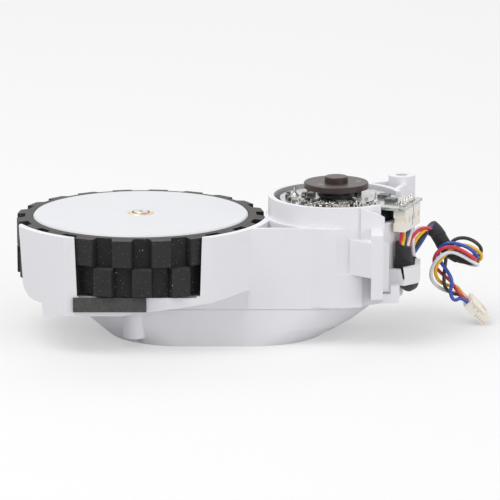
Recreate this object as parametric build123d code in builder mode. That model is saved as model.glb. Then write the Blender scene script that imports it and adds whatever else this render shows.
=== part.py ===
from build123d import *
from math import acos, atan2, cos, degrees, hypot, pi, radians, sin, tan
import os

# Robot vacuum wheel module, in millimetres. It lies on the flat bottom of its gear case.
# The origin is where the wheel axis meets that flat bottom. X runs from the wheel to the motor, Z is the wheel axis.

# Fits
running_fit = 0.05          # radial play of a shaft in its bore
slip_fit = 0.3              # radial play of a part that drops into its seat
seat_gap = 0.05             # play along an axis between stacked pieces

# Wheel
tyre_radius = 35.0
block_height = 2.3
tyre_root_radius = tyre_radius - block_height
tyre_thickness = 4.4
tyre_bore_radius = tyre_radius - tyre_thickness
tyre_bottom = 17.0
tyre_top = 33.2
blocks_per_row = 20
block_root_width = 6.2
block_top_width = 5.2
block_row_gap = 0.3
block_edge_bevel = 0.25
block_start_angle = -87.9
rim_thickness = 2.2
hub_boss_radius = 6.2
hub_web_thickness = 1.8
hub_rib_count = 8
hub_rib_thickness = 1.4
hub_rib_depth = 6.5
disc_radius = tyre_bore_radius - 0.2
disc_thickness = 1.4
disc_proud = 0.35
disc_edge = 0.4
insert_radius = 3.75
insert_proud = 0.2
axle_radius = 2.2
axle_proud = 0.45

# Gear case
seam_height = 10.7
case_length = 47.5
case_radius = 21.5
case_wall = 1.8
foot_start = 12.0
foot_end = 31.0
bilge_height = 4.5          # where the sides turn from shallow to steep
bilge_start = 6.5
bilge_end = 39.4
column_x = -1.4             # round columns round the screws at the wheel end
column_y = 19.1
column_radius = 3.1
column_bottom = 2.2
seam_groove = 0.3
cover_floor = 2.0
bush_wall = 1.6
bush_boss_top = 9.2
bush_seat = 5.6             # height of the seat of the lower axle bush
well_floor_bottom = 14.4
well_floor_top = 16.3
motor_side_ceiling = 12.6
wheel_side_cavity = 30.0

# Fender over the front of the wheel
fender_radius = 37.6
wheel_clearance = 0.6
fender_top = 33.4
fender_flat = 31.7          # distance of the flat front face from the wheel axis
fender_start_angle = 203.3
fender_end_angle = 350.0
apron_wall = 1.7
apron_bottom = 11.2
window_sill = 16.8
window_left_top = -17.3
window_left_bottom = -16.7
window_right_top = 17.8
window_right_bottom = 17.2

# Motor cup
motor_x = 55.2
motor_y = -2.4
cup_radius = 19.2
cup_wall = 1.6
cup_top = 39.3
cup_floor_top = 14.8
body_radius = 20.5
body_bottom = 11.3
body_top = 33.6
body_ledge = 20.9
body_step_x = 55.0
body_wide_end_x = 62.0      # past this the body is only as wide as the cup
front_wall = 21.6           # distance of the front wall's face from the wheel axis
front_wall_thickness = 1.6
front_wall_start = 30.0
back_wall_top = 24.0
cup_gap_start = -51.0
cup_gap_end = 14.0
cup_gap_bottom = 34.0

# Screw boss behind the cup
boss_x = 74.6
boss_y = 17.8
boss_radius = 3.9
boss_hole_radius = 1.7
boss_top = 40.9
boss_bottom = 12.6
boss_rib_top = 39.0

# Front right corner of the cup: box rib and wire clip
rib_bottom = 20.8
rib_top = 30.5
clip_wall = 1.4
clip_bottom = 16.9
clip_top = 21.9

# Foam strip
foam_left = -17.8
foam_right = 2.4
foam_bottom = 12.5
foam_top = 16.5
foam_thickness = 0.8

# Motor
can_wall = 1.2
can_top = 35.0
can_floor = 1.5
nose_radius = 5.0
nose_bottom = 11.7
shaft_radius = 1.5
bearing_radius = 4.0
bearing_width = 3.0
stator_bottom = 18.6
stator_height = 13.0
rotor_radius = 9.0
air_gap = 0.5
stator_slots = 9
stator_slot_width = 2.6
bell_thickness = 1.4
motor_screw_spacing = 17.0

# Board and sensor disc
board_bottom = 37.7
board_thickness = 0.8
board_radius = 15.9
tab_angle = -20.6
tab_reach = 22.9
tab_width = 16.2
encoder_radius = 9.1
encoder_bottom = 41.4
encoder_thickness = 1.6
encoder_hub_radius = 3.3
encoder_hub_top = 44.6
carrier_flange_radius = 5.1
carrier_neck_radius = 3.9
carrier_flange_thickness = 0.8
peak_radius = 1.3
peak_height = 3.0

# Connector under the tab
connector_reach = 21.0
header_length = 13.6
header_width = 3.4
header_height = 2.4
crimp_length = 13.0
crimp_width = 3.0
crimp_height = 3.8
pin_pitch = 2.2
pin_size = 0.5
wire_count = 5

# Gears
pressure_angle = 25.0
backlash = 0.08
addendum_factor = 0.9
dedendum_factor = 1.25
module_motor = 0.5
pinion_teeth = 12
idler_a_teeth = 54
module_middle = 0.6
idler_a_pinion_teeth = 12
idler_b_teeth = 46
module_final = 0.8
idler_b_pinion_teeth = 14
final_teeth = 40
final_gear_bottom = 10.9
final_gear_height = 3.0
idler_b_bottom = 8.0
idler_b_height = 2.4
idler_a_bottom = 4.9
idler_a_height = 2.7
pin_radius = 1.2
pin_seat_depth = 1.4
idler_b_angle = 4.0         # how far the gear train bows away from the line between the two axes

# Wires
wire_radius = 0.52
sleeve_radius = 2.0
sleeve_wall = 0.3

# Values that follow from the sizes above
wheel_well_radius = tyre_radius + wheel_clearance
motor_axis = (motor_x, motor_y)
cup_bore_radius = cup_radius - cup_wall
can_radius = cup_bore_radius - slip_fit
can_bottom = cup_floor_top + seat_gap
board_top = board_bottom + board_thickness
disc_top = tyre_top + disc_proud
disc_bottom = disc_top - disc_thickness
axle_top = disc_top + axle_proud
bush_radius = axle_radius + 1.8
hub_bottom = tyre_bottom + 0.5
shaft_top = encoder_hub_top - 0.9
hub_web_bottom = disc_bottom - hub_web_thickness


def gear_outline(teeth, module, start_angle):
    """Points round a spur gear: root, mid flank and tip of each involute flank."""
    pitch_radius = teeth * module / 2
    base_radius = pitch_radius * cos(radians(pressure_angle))
    tip_radius = pitch_radius + addendum_factor * module
    root_radius = pitch_radius - dedendum_factor * module
    half_tooth = pi / (2 * teeth) - backlash / (2 * pitch_radius)
    involute_at_pitch = tan(radians(pressure_angle)) - radians(pressure_angle)

    def half_angle(radius):
        turn = acos(min(1.0, base_radius / radius))
        return half_tooth + involute_at_pitch - (tan(turn) - turn)

    flank = [
        (root_radius, half_angle(max(root_radius, base_radius))),
        (max(root_radius, base_radius), half_angle(max(root_radius, base_radius))),
        (pitch_radius, half_angle(pitch_radius)),
        (tip_radius, half_angle(tip_radius)),
    ]
    if flank[1][0] - flank[0][0] < 0.01:
        flank.pop(0)
    points = []
    for tooth in range(teeth):
        middle = radians(start_angle) + 2 * pi * tooth / teeth
        for radius, half in flank:
            points.append((radius * cos(middle - half), radius * sin(middle - half)))
        for radius, half in reversed(flank):
            points.append((radius * cos(middle + half), radius * sin(middle + half)))
    return points


def mesh_angle(direction, own_teeth, own_angle, next_teeth):
    """Start angle of the next gear so that its gap meets a tooth of this one."""
    pitch = 360 / own_teeth
    part = ((direction - own_angle) / pitch) % 1
    return direction + 180 - (0.5 - part) * 360 / next_teeth


# Gear train: wheel axis, idler b, idler a, motor axis
centre_final = module_final * (final_teeth + idler_b_pinion_teeth) / 2
centre_middle = module_middle * (idler_b_teeth + idler_a_pinion_teeth) / 2
centre_motor = module_motor * (idler_a_teeth + pinion_teeth) / 2
line_angle = degrees(atan2(motor_y, motor_x))
wheel_to_b = line_angle + idler_b_angle
idler_b_axis = (centre_final * cos(radians(wheel_to_b)), centre_final * sin(radians(wheel_to_b)))
b_to_motor = hypot(motor_x - idler_b_axis[0], motor_y - idler_b_axis[1])
b_to_motor_angle = degrees(atan2(motor_y - idler_b_axis[1], motor_x - idler_b_axis[0]))
elbow = degrees(acos((centre_middle**2 + b_to_motor**2 - centre_motor**2) / (2 * centre_middle * b_to_motor)))
b_to_a = b_to_motor_angle - elbow
idler_a_axis = (
    idler_b_axis[0] + centre_middle * cos(radians(b_to_a)),
    idler_b_axis[1] + centre_middle * sin(radians(b_to_a)),
)
a_to_motor = degrees(atan2(motor_y - idler_a_axis[1], motor_x - idler_a_axis[0]))
idler_b_pinion_start = mesh_angle(wheel_to_b, final_teeth, 0, idler_b_pinion_teeth)
idler_a_pinion_start = mesh_angle(b_to_a, idler_b_teeth, 0, idler_a_pinion_teeth)
pinion_start = mesh_angle(a_to_motor, idler_a_teeth, 0, pinion_teeth)

# Cover screws: two in the round bosses at the wheel end, two under the motor
screw_shank_radius = 1.0
screw_head_radius = 1.9
screw_head_height = 1.3
screw_head_bottom = 3.4
screw_top = 13.4
screw_boss_radius = 2.4
screw_post_radius = 2.1     # the posts above the seam pass between the case wall and the final gear
screw_hole_radius = screw_shank_radius + running_fit
cover_screw_places = [(column_x, -column_y), (column_x, column_y), (52.8, -12.4), (52.8, 12.4)]
motor_screw_places = [(motor_x - motor_screw_spacing / 2, motor_y), (motor_x + motor_screw_spacing / 2, motor_y)]

# Fender: a ring with one flat side, a window for the tread and an apron below
with BuildPart() as fender:
    with BuildSketch(Plane.XY.offset(8.0)):
        Circle(fender_radius)
        with Locations((0, fender_radius - fender_flat)):
            Rectangle(2 * fender_radius, 2 * fender_radius, mode=Mode.INTERSECT)
    extrude(amount=fender_top - 8.0)
    with BuildSketch(Plane.XY.offset(well_floor_top)):
        Circle(wheel_well_radius)
    extrude(amount=fender_top, mode=Mode.SUBTRACT)
    with BuildSketch(Plane.XY.offset(8.0)):
        Circle(fender_radius - apron_wall)
        with Locations((0, fender_radius - fender_flat)):
            Rectangle(2 * fender_radius, 2 * (fender_radius - apron_wall), mode=Mode.INTERSECT)
    extrude(amount=well_floor_bottom - 8.0, mode=Mode.SUBTRACT)
    # The back of the wheel stays open: the ring spans only the front
    with BuildSketch(Plane.XY):
        with BuildLine():
            reach = 3 * fender_radius
            start = (reach * cos(radians(fender_end_angle)), reach * sin(radians(fender_end_angle)))
            end = (reach * cos(radians(fender_start_angle)), reach * sin(radians(fender_start_angle)))
            Polyline((0, 0), start, (reach, reach), (-reach, reach), end, close=True)
        make_face()
    extrude(amount=2 * fender_top, mode=Mode.SUBTRACT)
    # Lower edge of the apron, with a small pointed foot at its left
    with BuildSketch(Plane.XZ):
        with BuildLine():
            Polyline((-60, -1), (-60, 40), (-33.7, 40), (-33.4, fender_top), (-32.4, 19.0))
            ThreePointArc((-32.4, 19.0), (-31.4, 15.4), (-29.6, 14.0))
            Polyline(
                (-29.6, 14.0), (-26.7, 13.7), (-26.4, 10.0), (-23.9, 10.1), (-21.6, apron_bottom + 0.3),
                (-18.0, apron_bottom), (-4.8, apron_bottom), (2.4, 12.3), (11.4, 13.4), (20.8, 15.0),
                (28.6, well_floor_top - 0.1), (60, well_floor_top - 0.1), (60, -1), (-60, -1),
            )
        make_face()
    extrude(amount=60, both=True, mode=Mode.SUBTRACT)
    # Window for the tread, open at the top
    with BuildSketch(Plane.XZ.offset(fender_flat / 2)):
        with BuildLine():
            Polyline(
                (window_left_bottom, window_sill), (window_right_bottom, window_sill),
                (window_right_top, fender_top + 1), (window_left_top, fender_top + 1), close=True,
            )
        make_face()
    extrude(amount=fender_flat, mode=Mode.SUBTRACT)

# Housing: gear case top, front wall, motor cup and everything moulded on them
with BuildPart() as main_housing:
    with BuildSketch(Plane.XY.offset(seam_height)):
        with Locations((case_length / 2, 0)):
            SlotCenterToCenter(case_length, 2 * case_radius)
    extrude(amount=well_floor_top - seam_height)
    # Box rib, pillar, plate, hook and high corner at the front right of the cup
    with BuildSketch(Plane.XY.offset(rib_bottom)):
        with BuildLine():
            Polyline((58.5, -18.0), (58.5, -22.0), (64.4, -27.2), (66.0, -27.2), (66.0, -14.6), close=True)
        make_face()
    extrude(amount=rib_top - rib_bottom)
    with BuildSketch(Plane.YZ.offset(64.4)):
        with BuildLine():
            Polyline((-16.6, 13.1), (-24.6, 13.1), (-27.2, 14.8), (-27.2, 32.8), (-26.0, 33.6), (-20.1, 33.6),
                     (-16.6, 30.0), close=True)
        make_face()
    extrude(amount=3.2)
    with BuildSketch(Plane.XZ.offset(23.0)):
        with BuildLine():
            Polyline((67.2, 16.4), (69.3, 17.0), (69.3, 29.8), (67.2, 31.3), close=True)
        make_face()
    extrude(amount=1.8)
    with BuildSketch(Plane.XZ.offset(22.2)):
        with BuildLine():
            Polyline((66.8, 13.3), (71.8, 13.3), (72.3, 13.8), (72.3, 18.1), (69.8, 18.1), (69.8, 15.9),
                     (66.8, 15.9), close=True)
        make_face()
    extrude(amount=3.2)
    with BuildSketch(Plane.XZ.offset(19.4)):
        with BuildLine():
            Polyline((61.6, 28.8), (61.6, 39.1), (66.6, 37.4), (68.2, 36.5), (68.2, 32.4), (66.6, 28.8), close=True)
        make_face()
    extrude(amount=2.0)
    # Wire clip: a bent wall beside the cup, its left part lower than its right
    with BuildSketch(Plane.XY.offset(clip_bottom)):
        with BuildLine():
            FilletPolyline((64.8, -17.2), (73.9, -19.6), (78.3, -15.6), (78.9, -7.2), radius=0.8)
            offset(amount=clip_wall, side=Side.LEFT)
        make_face()
    extrude(amount=clip_top - clip_bottom)
    with BuildSketch(Plane.XZ.offset(14.0)):
        with BuildLine():
            Polyline((60.0, clip_top + 1), (60.0, clip_top - 0.5), (72.9, clip_top - 0.5), (73.5, clip_bottom + 1.6),
                     (74.0, clip_bottom + 1.6), (73.4, clip_top + 1), close=True)
        make_face()
    extrude(amount=8.0, mode=Mode.SUBTRACT)
    # Body and motor cup
    with BuildSketch(Plane.XY.offset(body_bottom)):
        with Locations(motor_axis):
            Circle(body_radius)
        with Locations((body_wide_end_x, 0)):
            Rectangle(100, 100, align=(Align.MAX, Align.CENTER), mode=Mode.INTERSECT)
        with Locations(motor_axis):
            Circle(cup_radius)
    extrude(amount=body_ledge - body_bottom)
    with BuildSketch(Plane.XY.offset(body_ledge)):
        with Locations(motor_axis):
            Circle(body_radius)
        with Locations((body_step_x, 0)):
            Rectangle(100, 100, align=(Align.MAX, Align.CENTER), mode=Mode.INTERSECT)
        with BuildLine():
            Polyline((50.0, motor_y - body_radius + 1.4), (53.0, motor_y - body_radius + 0.12),
                     (body_step_x, motor_y - body_radius + 0.3), (61.0, motor_y - cup_radius + 1.6),
                     (54.0, motor_y - cup_radius + 3), close=True)
        make_face()
    extrude(amount=body_top - body_ledge)
    with BuildSketch(Plane.XY.offset(body_ledge)):
        with Locations(motor_axis):
            Circle(cup_radius)
    extrude(amount=cup_top - body_ledge)
    # Front and back walls between the wheel and the motor
    with BuildSketch(Plane.XY.offset(seam_height)):
        with Locations((front_wall_start, -front_wall)):
            Rectangle(motor_x - front_wall_start, front_wall_thickness, align=(Align.MIN, Align.MIN))
    extrude(amount=body_top - seam_height)
    with BuildSketch(Plane.XY.offset(seam_height)):
        with Locations((front_wall_start + 2, case_radius)):
            Rectangle(motor_x - front_wall_start - 8, front_wall_thickness, align=(Align.MIN, Align.MAX))
    extrude(amount=back_wall_top - seam_height)
    with BuildSketch(Plane.XY.offset(well_floor_top)):
        with Locations((41.0, 0)):
            Rectangle(front_wall_thickness, 2 * case_radius, align=(Align.CENTER, Align.CENTER))
        with Locations((41.0, 0)):
            Rectangle(10, 8, align=(Align.CENTER, Align.CENTER), mode=Mode.SUBTRACT)
    extrude(amount=back_wall_top - well_floor_top)
    with BuildSketch(Plane.XY.offset(boss_bottom)):
        with Locations((boss_x, boss_y)):
            Circle(boss_radius)
        with BuildLine():
            Polyline((motor_x + 6, motor_y + 17), (boss_x - 2.6, boss_y + 1.8), (boss_x - 1.4, boss_y + 0.6),
                     (motor_x + 7.2, motor_y + 15.8), close=True)
        make_face()
        with BuildLine():
            Polyline((motor_x + 17, motor_y + 6), (boss_x + 1.8, boss_y - 2.6), (boss_x + 0.6, boss_y - 1.4),
                     (motor_x + 15.8, motor_y + 7.2), close=True)
        make_face()
    extrude(amount=boss_rib_top - boss_bottom)
    with BuildSketch(Plane.XY.offset(boss_rib_top)):
        with Locations((boss_x, boss_y)):
            Circle(boss_radius)
    extrude(amount=boss_top - boss_rib_top)
    # Space for the wheel, then the fender round it
    with BuildSketch(Plane.XY.offset(well_floor_top)):
        Circle(wheel_well_radius)
    extrude(amount=cup_top, mode=Mode.SUBTRACT)
    add(fender.part)
    with BuildSketch(Plane.XY.offset(well_floor_top - 0.1)):
        Circle(bush_radius + 2.4)
    extrude(amount=hub_bottom - 0.4 - well_floor_top + 0.1)
    # Motor bore, with its gap for the board's tab
    with BuildSketch(Plane.XY.offset(cup_floor_top)):
        with Locations(motor_axis):
            Circle(cup_bore_radius)
    extrude(amount=cup_top, mode=Mode.SUBTRACT)
    with BuildSketch(Plane.XY.offset(cup_gap_bottom)):
        with BuildLine():
            gap_reach = 2 * body_radius
            gap_from = (motor_x + gap_reach * cos(radians(cup_gap_start)),
                        motor_y + gap_reach * sin(radians(cup_gap_start)))
            gap_to = (motor_x + gap_reach * cos(radians(cup_gap_end)),
                      motor_y + gap_reach * sin(radians(cup_gap_end)))
            Polyline(motor_axis, gap_from, gap_to, close=True)
        make_face()
        with Locations(motor_axis):
            Circle(cup_radius + 0.01, mode=Mode.INTERSECT)
    extrude(amount=cup_top, mode=Mode.SUBTRACT)
    # Gear space under the floor
    with BuildSketch(Plane.XY.offset(seam_height)):
        with Locations((case_length / 2, 0)):
            SlotCenterToCenter(case_length, 2 * (case_radius - case_wall))
    extrude(amount=motor_side_ceiling - seam_height, mode=Mode.SUBTRACT)
    with BuildSketch(Plane.XY.offset(seam_height)):
        with Locations((wheel_side_cavity / 2, 0)):
            SlotCenterToCenter(wheel_side_cavity, 2 * (case_radius - case_wall))
    extrude(amount=well_floor_bottom - seam_height, mode=Mode.SUBTRACT)
    with BuildSketch(Plane.XY.offset(seam_height)):
        with Locations(*cover_screw_places):
            Circle(screw_post_radius)
    extrude(amount=well_floor_bottom + 0.1 - seam_height)
    # Holes: axle bush, idler pins, motor nose, screws
    with BuildSketch(Plane.XY.offset(seam_height)):
        Circle(bush_radius + running_fit)
        with Locations(motor_axis):
            Circle(nose_radius + running_fit)
        with Locations(*motor_screw_places):
            Circle(screw_hole_radius)
        with Locations((boss_x, boss_y)):
            Circle(boss_hole_radius)
    extrude(amount=cup_top, mode=Mode.SUBTRACT)
    with BuildSketch(Plane.XY.offset(seam_height)):
        with Locations(*cover_screw_places):
            Circle(screw_hole_radius)
    extrude(amount=screw_top + seat_gap - seam_height, mode=Mode.SUBTRACT)
    with BuildSketch(Plane.XY.offset(seam_height)):
        with Locations(idler_b_axis):
            Circle(pin_radius + running_fit)
    extrude(amount=well_floor_bottom + pin_seat_depth - seam_height, mode=Mode.SUBTRACT)
    with BuildSketch(Plane.XY.offset(seam_height)):
        with Locations(idler_a_axis):
            Circle(pin_radius + running_fit)
    extrude(amount=motor_side_ceiling + pin_seat_depth - seam_height, mode=Mode.SUBTRACT)

# Cover: a boat-shaped shell, its flat bottom shorter than its rim
with BuildPart() as gear_case_cover:
    for height, start, end in ((0, foot_start, foot_end), (bilge_height, bilge_start, bilge_end),
                               (seam_height, 0, case_length)):
        with BuildSketch(Plane.XY.offset(height)):
            with Locations(((start + end) / 2, 0)):
                SlotCenterToCenter(end - start, 2 * case_radius)
    loft(ruled=True)
    with BuildSketch(Plane.XY.offset(column_bottom)):
        with Locations((column_x, -column_y), (column_x, column_y)):
            Circle(column_radius)
    extrude(amount=seam_height - column_bottom)
    with BuildSketch(Plane.XY.offset(screw_head_bottom + 0.4)):
        with Locations(*cover_screw_places):
            Circle(screw_boss_radius)
    extrude(amount=seam_height - screw_head_bottom - 0.4)
    # Inside, the wall keeps its thickness
    floor_share = cover_floor / bilge_height
    inner_start = foot_start + (bilge_start - foot_start) * floor_share
    inner_end = foot_end + (bilge_end - foot_end) * floor_share
    for height, start, end in ((cover_floor, inner_start, inner_end), (bilge_height, bilge_start, bilge_end),
                               (seam_height, 0, case_length)):
        with BuildSketch(Plane.XY.offset(height)):
            with Locations(((start + end) / 2, 0)):
                SlotCenterToCenter(end - start, 2 * (case_radius - case_wall))
    loft(ruled=True, mode=Mode.SUBTRACT)
    # A fine groove marks the seam
    with BuildSketch(Plane.XY.offset(seam_height - seam_groove)):
        with Locations((case_length / 2, 0)):
            SlotCenterToCenter(case_length, 2 * (case_radius + 1))
            SlotCenterToCenter(case_length, 2 * (case_radius - seam_groove), mode=Mode.SUBTRACT)
    extrude(amount=seam_groove, mode=Mode.SUBTRACT)
    # Bosses for the bush, the pins and the screws
    with BuildSketch(Plane.XY.offset(cover_floor - 0.5)):
        with Locations(idler_a_axis, idler_b_axis):
            Circle(pin_radius + 1.2)
    extrude(amount=idler_a_bottom - 0.3 - cover_floor + 0.5)
    with BuildSketch(Plane.XY.offset(cover_floor - 0.5)):
        with Locations(idler_b_axis):
            Circle(pin_radius + 1.2)
    extrude(amount=idler_b_bottom - 0.3 - cover_floor + 0.5)
    with BuildSketch(Plane.XY.offset(screw_head_bottom + 0.4)):
        with Locations(*cover_screw_places):
            Circle(screw_boss_radius)
    extrude(amount=seam_height - screw_head_bottom - 0.4)
    with BuildSketch(Plane.XY.offset(cover_floor - 0.5)):
        Circle(bush_radius + bush_wall)
    extrude(amount=bush_boss_top - cover_floor + 0.5)
    with BuildSketch(Plane.XY.offset(1.0)):
        with Locations(idler_a_axis, idler_b_axis):
            Circle(pin_radius + running_fit)
    extrude(amount=seam_height, mode=Mode.SUBTRACT)
    with BuildSketch(Plane.XY.offset(bush_seat)):
        Circle(bush_radius + running_fit)
    extrude(amount=seam_height, mode=Mode.SUBTRACT)
    with BuildSketch(Plane.XY):
        with Locations(*cover_screw_places):
            Circle(screw_hole_radius)
    extrude(amount=seam_height, mode=Mode.SUBTRACT)
    with BuildSketch(Plane.XY):
        with Locations(*cover_screw_places):
            Circle(screw_head_radius + 0.2)
    extrude(amount=screw_head_bottom + screw_head_height, mode=Mode.SUBTRACT)

# Screws
with BuildPart() as cover_screws:
    with BuildSketch(Plane.XY.offset(screw_head_bottom)):
        with Locations(*cover_screw_places):
            Circle(screw_head_radius)
    extrude(amount=screw_head_height)
    with BuildSketch(Plane.XY.offset(screw_head_bottom)):
        with Locations(*cover_screw_places):
            Circle(screw_shank_radius)
    extrude(amount=screw_top - screw_head_bottom)
    with BuildSketch(Plane.XY.offset(screw_head_bottom)):
        with Locations(*cover_screw_places):
            Rectangle(2.2, 0.5)
            Rectangle(0.5, 2.2)
    extrude(amount=0.8, mode=Mode.SUBTRACT)

with BuildPart() as motor_screws:
    with BuildSketch(Plane.XY.offset(motor_side_ceiling - screw_head_height)):
        with Locations(*motor_screw_places):
            Circle(screw_head_radius)
    extrude(amount=screw_head_height)
    with BuildSketch(Plane.XY.offset(motor_side_ceiling)):
        with Locations(*motor_screw_places):
            Circle(screw_shank_radius)
    extrude(amount=can_bottom + can_floor - 0.1 - motor_side_ceiling)

# Wheel hub: rim, web with ribs below, and the boss that grips the axle
with BuildPart() as wheel_hub:
    with BuildSketch(Plane.XZ) as hub_section:
        with BuildLine():
            rim_inside = tyre_bore_radius - rim_thickness
            Polyline(
                (axle_radius, hub_bottom), (hub_boss_radius, hub_bottom), (hub_boss_radius, hub_web_bottom),
                (rim_inside - 0.6, hub_web_bottom), (rim_inside, tyre_bottom + 0.3), (tyre_bore_radius, tyre_bottom + 0.3),
                (tyre_bore_radius, disc_bottom), (axle_radius, disc_bottom), close=True,
            )
        make_face()
    revolve(axis=Axis.Z)
    with BuildSketch(Plane.XY.offset(hub_web_bottom - hub_rib_depth)):
        with PolarLocations((hub_boss_radius + rim_inside) / 2, hub_rib_count):
            Rectangle(rim_inside - hub_boss_radius + 1.0, hub_rib_thickness)
    extrude(amount=hub_rib_depth + 0.5)
    with BuildSketch(Plane.XY.offset(disc_bottom - insert_proud - 1.6)):
        Circle(insert_radius)
    extrude(amount=10, mode=Mode.SUBTRACT)

with BuildPart() as wheel_cap_disc:
    with BuildSketch(Plane.XY.offset(disc_bottom)):
        Circle(disc_radius)
        Circle(insert_radius, mode=Mode.SUBTRACT)
    extrude(amount=disc_thickness)
    chamfer(wheel_cap_disc.edges().group_by(Axis.Z)[-1].sort_by(SortBy.RADIUS)[-1], length=disc_edge)

with BuildPart() as wheel_insert:
    with BuildSketch(Plane.XY.offset(disc_bottom - insert_proud - 1.6)):
        Circle(insert_radius)
        Circle(axle_radius, mode=Mode.SUBTRACT)
    extrude(amount=disc_top + insert_proud - disc_bottom + insert_proud + 1.6)
    chamfer(wheel_insert.edges().group_by(Axis.Z)[-1], length=0.25)

# Tyre: two rows of bevelled blocks, set half a pitch apart
block_row_height = (tyre_top - tyre_bottom - block_row_gap) / 2
block_length = tyre_radius - tyre_root_radius + 0.3
with BuildPart() as tyre:
    with BuildSketch(Plane.XY.offset(tyre_bottom)):
        Circle(tyre_root_radius)
        Circle(tyre_bore_radius, mode=Mode.SUBTRACT)
    extrude(amount=tyre_top - tyre_bottom)
    for row in range(2):
        row_bottom = tyre_bottom + row * (block_row_height + block_row_gap)
        row_angle = block_start_angle + row * 180 / blocks_per_row
        for block in range(blocks_per_row):
            angle = row_angle + block * 360 / blocks_per_row
            outward = (cos(radians(angle)), sin(radians(angle)), 0)
            middle = row_bottom + block_row_height / 2
            foot = tyre_radius - block_length
            block_plane = Plane(
                origin=(foot * outward[0], foot * outward[1], middle), x_dir=(0, 0, 1), z_dir=outward,
            )
            with BuildSketch(block_plane):
                Rectangle(block_row_height, block_root_width)
            with BuildSketch(block_plane.offset(block_length)):
                Rectangle(block_row_height - 2 * block_edge_bevel, block_top_width)
            loft(ruled=True)

with BuildPart() as wheel_axle:
    with BuildSketch(Plane.XY.offset(bush_seat + 0.3)):
        Circle(axle_radius)
    extrude(amount=axle_top - bush_seat - 0.3)
    chamfer(wheel_axle.edges().group_by(Axis.Z)[-1], length=0.3)
    with BuildSketch(Plane.XY.offset(axle_top)):
        Circle(0.6)
    extrude(amount=-0.5, mode=Mode.SUBTRACT)

with BuildPart() as final_gear:
    with BuildSketch(Plane.XY.offset(final_gear_bottom)):
        with BuildLine():
            Polyline(*gear_outline(final_teeth, module_final, 0), close=True)
        make_face()
        with PolarLocations(9.6, 6):
            Circle(2.6, mode=Mode.SUBTRACT)
        Circle(axle_radius, mode=Mode.SUBTRACT)
    extrude(amount=final_gear_height)

with BuildPart() as axle_bush_lower:
    with BuildSketch(Plane.XY.offset(bush_seat + seat_gap)):
        Circle(bush_radius)
        Circle(axle_radius + running_fit, mode=Mode.SUBTRACT)
    extrude(amount=4.4)

with BuildPart() as axle_bush_upper:
    with BuildSketch(Plane.XY.offset(well_floor_bottom)):
        Circle(bush_radius)
        Circle(axle_radius + running_fit, mode=Mode.SUBTRACT)
    extrude(amount=hub_bottom - 0.3 - well_floor_bottom)

# Idlers: a large gear and a pinion moulded together on a steel pin
with BuildPart() as idler_gear_b:
    with BuildSketch(Plane((*idler_b_axis, idler_b_bottom))):
        with BuildLine():
            Polyline(*gear_outline(idler_b_teeth, module_middle, 0), close=True)
        make_face()
        Circle(pin_radius + running_fit, mode=Mode.SUBTRACT)
    extrude(amount=idler_b_height)
    with BuildSketch(Plane((*idler_b_axis, idler_b_bottom + idler_b_height))):
        with BuildLine():
            Polyline(*gear_outline(idler_b_pinion_teeth, module_final, idler_b_pinion_start), close=True)
        make_face()
        Circle(pin_radius + running_fit, mode=Mode.SUBTRACT)
    extrude(amount=final_gear_bottom + final_gear_height - idler_b_bottom - idler_b_height)

with BuildPart() as idler_gear_a:
    with BuildSketch(Plane((*idler_a_axis, idler_a_bottom))):
        with BuildLine():
            Polyline(*gear_outline(idler_a_teeth, module_motor, 0), close=True)
        make_face()
        Circle(pin_radius + running_fit, mode=Mode.SUBTRACT)
    extrude(amount=idler_a_height)
    with BuildSketch(Plane((*idler_a_axis, idler_a_bottom + idler_a_height))):
        with BuildLine():
            Polyline(*gear_outline(idler_a_pinion_teeth, module_middle, idler_a_pinion_start), close=True)
        make_face()
        Circle(pin_radius + running_fit, mode=Mode.SUBTRACT)
    extrude(amount=idler_b_bottom + idler_b_height - idler_a_bottom - idler_a_height)

with BuildPart() as idler_pin_b:
    with BuildSketch(Plane.XY.offset(1.0 + seat_gap)):
        with Locations(idler_b_axis):
            Circle(pin_radius)
    extrude(amount=well_floor_bottom + pin_seat_depth - 1.0 - 2 * seat_gap)

with BuildPart() as idler_pin_a:
    with BuildSketch(Plane.XY.offset(1.0 + seat_gap)):
        with Locations(idler_a_axis):
            Circle(pin_radius)
    extrude(amount=motor_side_ceiling + pin_seat_depth - 1.0 - 2 * seat_gap)

# Motor, from the pinion up
with BuildPart() as motor_pinion:
    with BuildSketch(Plane((*motor_axis, idler_a_bottom))):
        with BuildLine():
            Polyline(*gear_outline(pinion_teeth, module_motor, pinion_start), close=True)
        make_face()
        Circle(shaft_radius, mode=Mode.SUBTRACT)
    extrude(amount=idler_a_height + 0.6)

with BuildPart() as motor_shaft:
    with BuildSketch(Plane.XY.offset(idler_a_bottom)):
        with Locations(motor_axis):
            Circle(shaft_radius)
    extrude(amount=shaft_top - idler_a_bottom)

with BuildPart() as motor_can:
    with BuildSketch(Plane.XY.offset(can_bottom)):
        with Locations(motor_axis):
            Circle(can_radius)
    extrude(amount=can_top - can_bottom)
    with BuildSketch(Plane.XY.offset(nose_bottom)):
        with Locations(motor_axis):
            Circle(nose_radius)
    extrude(amount=can_bottom - nose_bottom)
    with BuildSketch(Plane.XY.offset(can_bottom + can_floor)):
        with Locations(motor_axis):
            Circle(can_radius - can_wall)
    extrude(amount=can_top, mode=Mode.SUBTRACT)
    with BuildSketch(Plane.XY.offset(can_bottom + can_floor - bearing_width)):
        with Locations(motor_axis):
            Circle(bearing_radius)
    extrude(amount=bearing_width, mode=Mode.SUBTRACT)
    with BuildSketch(Plane.XY.offset(nose_bottom)):
        with Locations(motor_axis):
            Circle(shaft_radius + 0.4)
        with Locations(*motor_screw_places):
            Circle(screw_hole_radius)
    extrude(amount=bearing_width + can_floor + 2, mode=Mode.SUBTRACT)

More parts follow.
